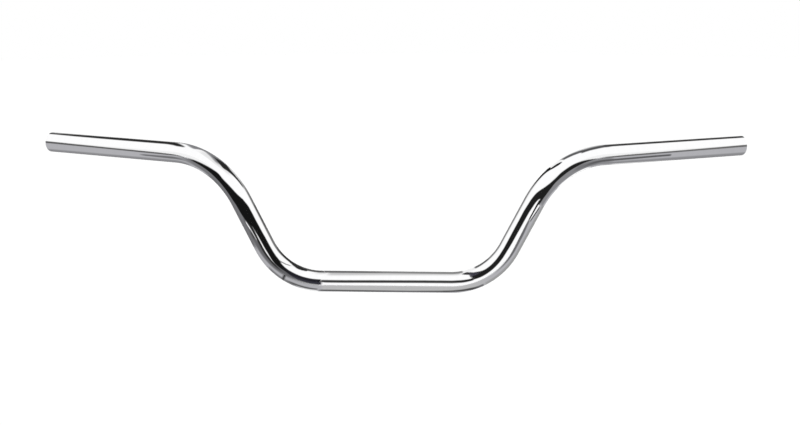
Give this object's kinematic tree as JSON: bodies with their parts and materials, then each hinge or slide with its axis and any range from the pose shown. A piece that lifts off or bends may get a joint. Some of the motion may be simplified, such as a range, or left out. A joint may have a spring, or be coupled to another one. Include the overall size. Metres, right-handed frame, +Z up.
{
  "type": "motorcycle handlebar",
  "caption": "One-piece bent tube handlebar with risers and swept-back grips, chrome plated, clamped at its straight middle.",
  "frame": {"origin": "centre of the clamp section, on the tube's centreline", "axes": "+X along the clamp section, towards the grip on the right in the picture; +Y back towards the rider, the way the grips sweep; +Z up, with the bar rolled back in its clamps so that its grips are level"},
  "size_m": [0.7952, 0.139, 0.152],
  "materials": {
    "chrome": "polished"
  },
  "bodies": {
    "root": {"handlebar": "chrome"}
  },
  "joints": []
}
